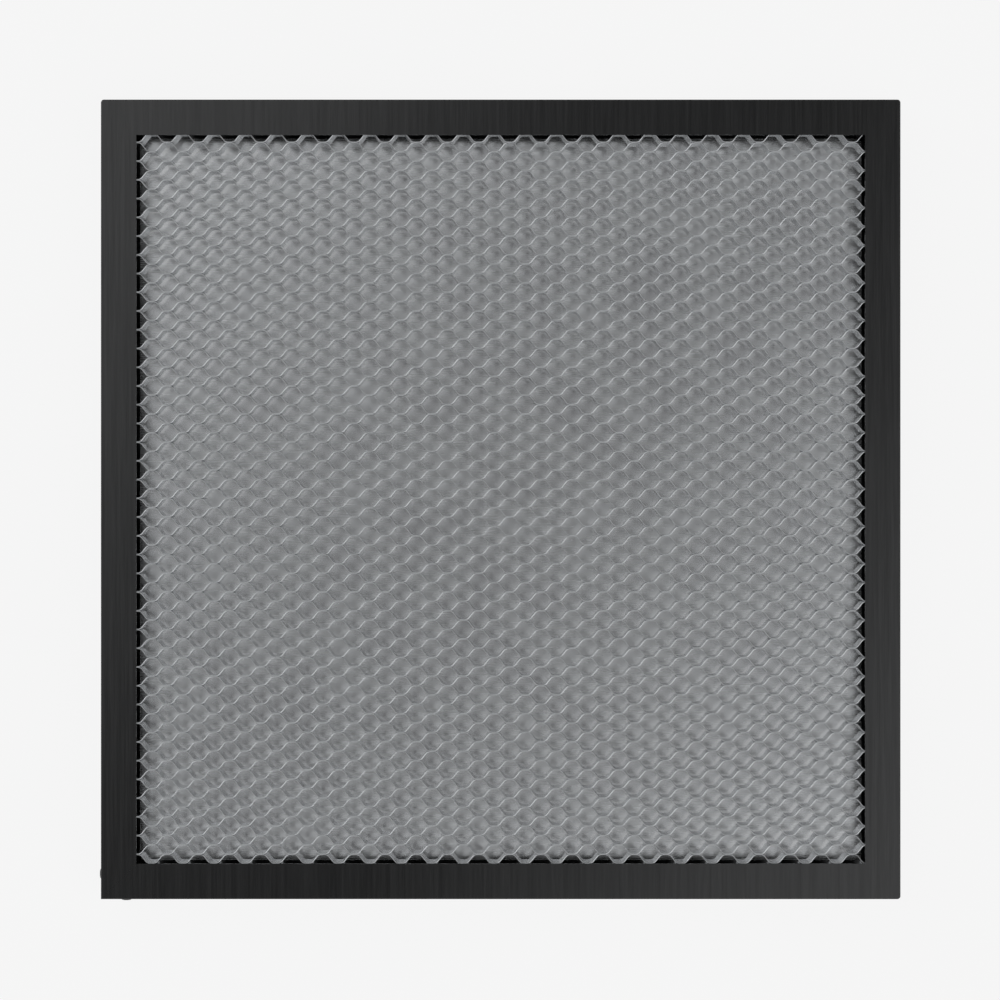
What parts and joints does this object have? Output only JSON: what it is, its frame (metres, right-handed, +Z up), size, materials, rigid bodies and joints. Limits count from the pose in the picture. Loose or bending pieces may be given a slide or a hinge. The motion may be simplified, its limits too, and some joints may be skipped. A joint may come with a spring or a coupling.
{
  "type": "honeycomb bed for a desktop laser cutter",
  "caption": "Flat square laser-cutter bed: foil honeycomb held in a black metal channel frame, closed at one corner with screws, standing on a loose metal base plate.",
  "frame": {"origin": "centre of the bed's footprint on the plane it stands on, at the underside of the base plate", "axes": "+X to the right, +Y to the rear, +Z up through the honeycomb; the screwed corner of the frame is at front left, at -X and -Y"},
  "size_m": [0.4416, 0.4416, 0.03],
  "materials": {
    "black_frame": "brushed black, satin",
    "foil": "bare rolled foil with sheared edges",
    "plate": "bare rolled sheet",
    "bracket": "zinc plated",
    "screws": "black oxide"
  },
  "bodies": {
    "base": {"base_plate": "plate"},
    "bed": {"frame_channel": "black_frame", "corner_bracket": "bracket", "corner_screws": "screws", "foil_ribbons_odd": "foil", "foil_ribbons_even": "foil"}
  },
  "joints": [
    {"name": "bed_lift", "type": "slide", "parent": "base", "child": "bed", "axis": [0, 0, 1], "range_m": [0, 0.06]}
  ]
}
